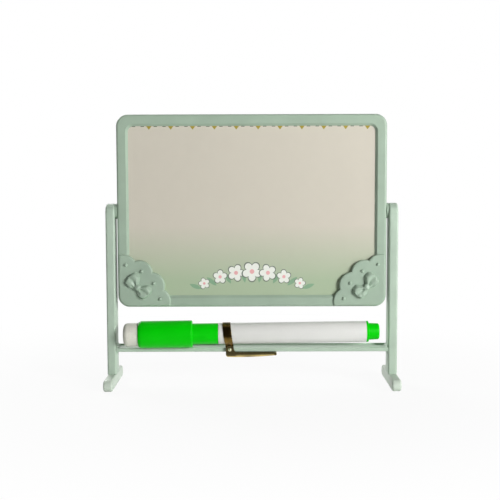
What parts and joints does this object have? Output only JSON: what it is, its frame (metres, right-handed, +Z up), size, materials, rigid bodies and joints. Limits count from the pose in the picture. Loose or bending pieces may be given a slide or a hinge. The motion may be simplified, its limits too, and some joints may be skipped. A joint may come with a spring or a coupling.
{
  "type": "desk whiteboard easel",
  "caption": "Small framed whiteboard that turns between posts, with scalloped corner ornaments, over a pen tray that carries a clipped dry-erase marker with an eraser cap.",
  "frame": {"origin": "on the desk under the middle of the easel, halfway between the feet's front and rear ends", "axes": "+Z up, -Y towards the viewer of the board's printed writing face, +X to that viewer's right"},
  "size_m": [0.152, 0.044, 0.1415],
  "materials": {
    "mint_plastic": "satin moulded",
    "writing_steel": "gloss printed",
    "fibre_board": "matte",
    "rear_film": "satin",
    "steel": "satin",
    "white_plastic": "gloss",
    "green_plastic": "gloss",
    "green_fibre": "matte",
    "felt": "felt",
    "gold_metal": "polished"
  },
  "bodies": {
    "stand": {"left_post": "mint_plastic", "right_post": "mint_plastic", "left_foot": "mint_plastic", "right_foot": "mint_plastic", "pen_tray": "mint_plastic"},
    "board": {"front_frame": "mint_plastic", "rear_frame": "mint_plastic", "left_corner_ornament": "mint_plastic", "right_corner_ornament": "mint_plastic", "writing_sheet": "writing_steel", "core_board": "fibre_board", "rear_sheet": "rear_film", "frame_screws": "steel", "left_pivot_pin": "steel", "right_pivot_pin": "steel", "left_pivot_washer": "mint_plastic", "right_pivot_washer": "mint_plastic"},
    "marker": {"marker_barrel": "white_plastic", "barrel_plug": "green_plastic", "nib_holder": "green_plastic", "marker_nib": "green_fibre", "ink_reservoir": "felt", "clip_band": "gold_metal", "clip_rivet": "gold_metal"},
    "cap": {"marker_cap": "green_plastic", "eraser": "felt", "cap_magnet": "steel"},
    "clip_blade": {"clip_blade": "gold_metal"}
  },
  "joints": [
    {"name": "board_tilt", "type": "hinge", "parent": "stand", "child": "board", "pos_m": [0, 0, 0.0915], "axis": [1, 0, 0], "continuous": true},
    {"name": "marker_lift_off", "type": "slide", "parent": "stand", "child": "marker", "axis": [0, -1, 0], "range_m": [0, 0.03]},
    {"name": "cap_pull", "type": "slide", "parent": "marker", "child": "cap", "axis": [-0.9999, 0, -0.0122], "range_m": [0, 0.0035]},
    {"name": "clip_open", "type": "hinge", "parent": "marker", "child": "clip_blade", "pos_m": [-0.01166, -0.0057, 0.01933], "axis": [0, 1, 0], "range_deg": [0, 12], "stiffness_Nm_per_rad": 0.15, "springref_deg": -5.73}
  ]
}
